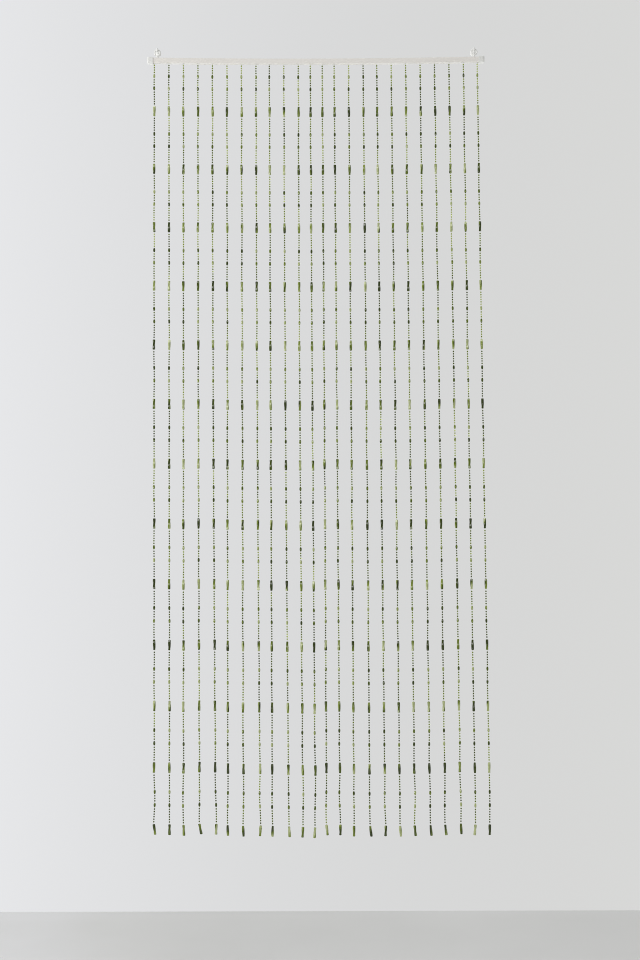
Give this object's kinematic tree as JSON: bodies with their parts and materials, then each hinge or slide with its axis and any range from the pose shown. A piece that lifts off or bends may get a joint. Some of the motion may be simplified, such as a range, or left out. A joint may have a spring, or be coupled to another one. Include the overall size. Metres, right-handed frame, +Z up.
{
  "type": "bead curtain with hanging rail and wall hooks",
  "caption": "Full-length curtain of straight bead strings under a slim rail with end caps, hung by two screw eyes on wall hooks.",
  "frame": {"origin": "the point in the wall's face midway between the two hooks, at the height of their shanks' centre lines", "axes": "+Z up, +Y into the wall that holds the hooks, +X to the right as the curtain is seen"},
  "size_m": [0.89, 0.024, 2.0539],
  "materials": {
    "beads": "glossy, clear olive green",
    "rail": "satin warm white",
    "end_caps": "satin white",
    "hardware": "white coated wire"
  },
  "bodies": {
    "root": {"bead_strings": "beads", "rail": "rail", "end_cap_left": "end_caps", "end_cap_right": "end_caps", "eye_left": "hardware", "eye_right": "hardware", "hook_left": "hardware", "hook_right": "hardware"}
  },
  "joints": []
}
